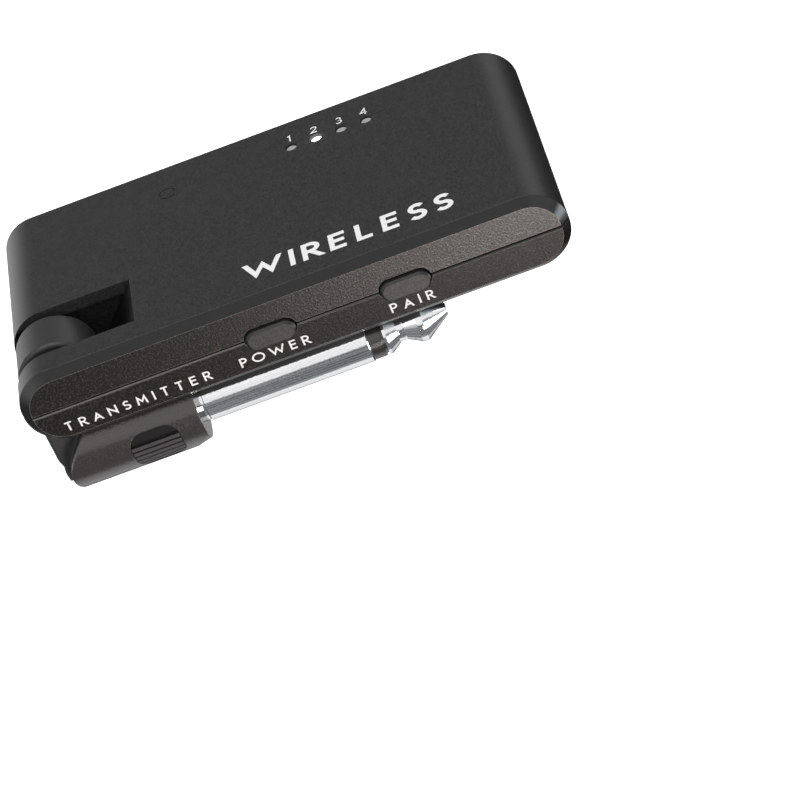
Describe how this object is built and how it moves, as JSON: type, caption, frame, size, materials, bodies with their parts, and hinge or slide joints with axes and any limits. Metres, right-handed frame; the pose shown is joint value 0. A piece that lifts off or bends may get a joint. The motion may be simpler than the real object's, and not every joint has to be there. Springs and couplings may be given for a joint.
{
  "type": "wireless guitar transmitter",
  "caption": "Slim rounded radio case with two panel buttons, status lights and a quarter-inch jack plug on a fold-out arm.",
  "frame": {"origin": "on the plug's axis at its root, just past the neck where it leaves the arm, with the arm folded under the case", "axes": "+X along the plug towards its tip, -Y towards the control panel, +Z out of the case's top face"},
  "size_m": [0.07, 0.0371, 0.0229],
  "materials": {
    "case": "fine satin texture, charcoal",
    "button": "smooth satin grey",
    "arm_plastic": "semi-gloss charcoal",
    "knuckle_plastic": "matte charcoal",
    "grip": "ribbed matte black",
    "plug_metal": "polished",
    "plug_ring": "black insulator",
    "light_pipe": "frosted white light guide",
    "led": "chip LED",
    "board": "solder mask green",
    "chip": "moulded epoxy",
    "ceramic": "ceramic",
    "tin": "tinned steel",
    "steel": "zinc-plated steel",
    "brass": "plated brass",
    "acetal": "natural acetal",
    "battery": "foil pouch",
    "foam": "foam tape",
    "connector": "moulded nylon",
    "lead": "insulated wire"
  },
  "bodies": {
    "arm": {"hinge_knuckle": "knuckle_plastic", "arm_cover": "arm_plastic", "grip_pad": "grip", "arm_screw_1": "steel", "arm_screw_2": "steel", "plug_collar": "plug_metal", "plug_sleeve": "plug_metal", "plug_insulator": "plug_ring", "plug_tip": "plug_metal", "plug_nut": "brass", "sleeve_lug": "brass", "tip_lug": "brass"},
    "housing": {"audio_chip": "chip", "battery_cell": "battery", "battery_lead_1": "lead", "battery_lead_2": "lead", "battery_pad": "foam", "battery_plug": "connector", "board_screw_1": "steel", "board_screw_2": "steel", "case_screw_1": "steel", "case_screw_2": "steel", "case_screw_3": "steel", "case_screw_4": "steel", "chip_antenna": "ceramic", "hinge_bush_front": "acetal", "hinge_bush_rear": "acetal", "hinge_pin": "steel", "light_pipe_1": "light_pipe", "light_pipe_2": "light_pipe", "light_pipe_3": "light_pipe", "light_pipe_4": "light_pipe", "lower_shell": "case", "main_board": "board", "pair_switch": "chip", "power_switch": "chip", "processor_chip": "chip", "radio_chip": "chip", "radio_shield": "tin", "status_led_1": "led", "status_led_2": "led", "status_led_3": "led", "status_led_4": "led", "upper_shell": "case", "usb_socket": "tin", "usb_tongue": "chip"},
    "power_key": {"power_button": "button", "power_plunger": "acetal"},
    "pair_key": {"pair_button": "button", "pair_plunger": "acetal"}
  },
  "joints": [
    {"name": "arm_hinge", "type": "hinge", "parent": "arm", "child": "housing", "pos_m": [-0.0154, 0, 0.012], "axis": [0, -1, 0], "range_deg": [0, 220]},
    {"name": "power_press", "type": "slide", "parent": "housing", "child": "power_key", "axis": [0, 1, 0], "range_m": [0, 0.00045], "stiffness_N_per_m": 3000, "springref_m": -0.0002},
    {"name": "pair_press", "type": "slide", "parent": "housing", "child": "pair_key", "axis": [0, 1, 0], "range_m": [0, 0.00045], "stiffness_N_per_m": 3000, "springref_m": -0.0002}
  ]
}
